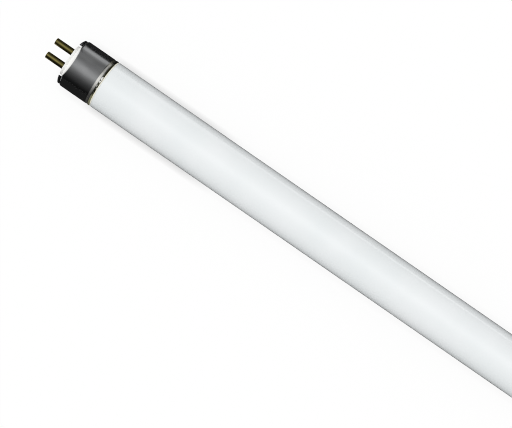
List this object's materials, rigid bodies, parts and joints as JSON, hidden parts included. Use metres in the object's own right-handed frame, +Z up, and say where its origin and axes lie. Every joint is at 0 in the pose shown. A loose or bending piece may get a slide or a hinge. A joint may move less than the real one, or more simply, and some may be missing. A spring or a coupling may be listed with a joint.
{
  "type": "fluorescent tube",
  "caption": "Straight miniature fluorescent lamp: white coated glass tube with a short dark metal cap and a pair of brass contact pins at each end.",
  "frame": {"origin": "middle of the tube, on its axis", "axes": "+X along the tube to its right cap, +Y across the two pins of a cap, +Z up, square to the plane of the pins"},
  "size_m": [0.3026, 0.0162, 0.016],
  "materials": {
    "coated_glass": "clear drawn glass over a white inner coating, opaque",
    "cap_metal": "drawn sheet, dark bright lacquer",
    "insulator_plastic": "moulded white",
    "cement": "set capping cement, matt cream",
    "pin_brass": "drawn tube, darkened",
    "lead_wire": "plain drawn wire"
  },
  "bodies": {
    "root": {"glass_tube": "coated_glass", "left_cap_shell": "cap_metal", "left_insulator": "insulator_plastic", "left_cement_ring": "cement", "left_front_pin": "pin_brass", "left_back_pin": "pin_brass", "left_front_lead_wire": "lead_wire", "left_back_lead_wire": "lead_wire", "right_cap_shell": "cap_metal", "right_insulator": "insulator_plastic", "right_cement_ring": "cement", "right_front_pin": "pin_brass", "right_back_pin": "pin_brass", "right_front_lead_wire": "lead_wire", "right_back_lead_wire": "lead_wire"}
  },
  "joints": []
}
